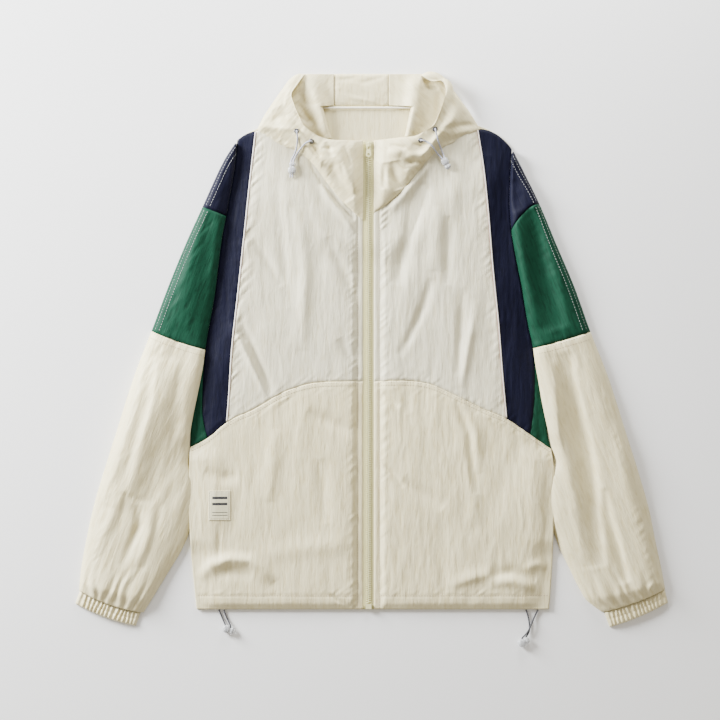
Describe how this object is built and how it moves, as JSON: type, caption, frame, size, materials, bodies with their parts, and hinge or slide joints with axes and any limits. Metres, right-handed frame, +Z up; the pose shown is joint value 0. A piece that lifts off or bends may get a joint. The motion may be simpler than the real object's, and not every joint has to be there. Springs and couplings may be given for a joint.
{
  "type": "windbreaker jacket",
  "caption": "Hooded zip windbreaker in thin crinkled cloth, laid flat front up with the zip closed, in cream, navy and green panels.",
  "frame": {"origin": "middle of the laid garment, on the surface that it lies on", "axes": "+Z up out of the surface, towards the garment's front; +Y towards the hood; +X towards the wearer's left sleeve"},
  "size_m": [0.8246, 0.7996, 0.0272],
  "materials": {
    "cream_cloth": "thin crinkled nylon, satin",
    "white_cloth": "thin crinkled nylon, satin",
    "navy_cloth": "thin crinkled nylon, satin",
    "green_cloth": "thin crinkled nylon, satin",
    "piping_cord": "corded piping",
    "binding": "woven binding tape",
    "zip_tape": "woven tape",
    "zip_plastic": "moulded, satin",
    "eyelet_metal": "dark plated",
    "clear_plastic": "clear, smooth",
    "hood_braid": "round braid",
    "hem_cord": "round elastic cord",
    "patch": "woven"
  },
  "bodies": {
    "jacket": {"back": "cream_cloth", "front_upper_R": "white_cloth", "stripe_R": "navy_cloth", "piping_R": "piping_cord", "gusset_R": "green_cloth", "front_lower_R": "cream_cloth", "front_upper_L": "white_cloth", "stripe_L": "navy_cloth", "piping_L": "piping_cord", "gusset_L": "green_cloth", "front_lower_L": "cream_cloth", "sleeve_cap_front_R": "navy_cloth", "sleeve_cap_back_R": "navy_cloth", "sleeve_middle_front_R": "green_cloth", "sleeve_middle_back_R": "green_cloth", "sleeve_lower_front_R": "cream_cloth", "sleeve_lower_back_R": "cream_cloth", "cuff_front_R": "cream_cloth", "cuff_back_R": "cream_cloth", "sleeve_cap_front_L": "navy_cloth", "sleeve_cap_back_L": "navy_cloth", "sleeve_middle_front_L": "green_cloth", "sleeve_middle_back_L": "green_cloth", "sleeve_lower_front_L": "cream_cloth", "sleeve_lower_back_L": "cream_cloth", "cuff_front_L": "cream_cloth", "cuff_back_L": "cream_cloth", "hood_crown": "cream_cloth", "hood_middle": "cream_cloth", "neck_binding": "binding", "hood_rear_R": "cream_cloth", "hood_side_R": "cream_cloth", "hood_rear_L": "cream_cloth", "hood_side_L": "cream_cloth", "zip_tape_R": "zip_tape", "zip_tape_L": "zip_tape", "zip_chain": "zip_plastic", "zip_box": "zip_plastic", "zip_slider": "zip_plastic", "patch": "patch", "eyelet_R_outer": "eyelet_metal", "eyelet_R_inner": "eyelet_metal", "eyelet_L_outer": "eyelet_metal", "eyelet_L_inner": "eyelet_metal", "cord_lock_hood_R": "clear_plastic", "cord_lock_hood_L": "clear_plastic", "cord_lock_hem_R": "clear_plastic", "cord_lock_hem_L": "clear_plastic", "cord_hood_R_outer": "hood_braid", "cord_hood_R_inner": "hood_braid", "cord_hood_L_outer": "hood_braid", "cord_hood_L_inner": "hood_braid", "cord_hem_R_outer": "hem_cord", "cord_hem_R_inner": "hem_cord", "cord_hem_L_outer": "hem_cord", "cord_hem_L_inner": "hem_cord"},
    "zip_pull": {"zip_pull_tab": "zip_plastic"}
  },
  "joints": [
    {"name": "pull_tab_hinge", "type": "hinge", "parent": "jacket", "child": "zip_pull", "pos_m": [-0.0045, 0.2834, 0.01005], "axis": [-1, 0, 0], "range_deg": [0, 150]}
  ]
}
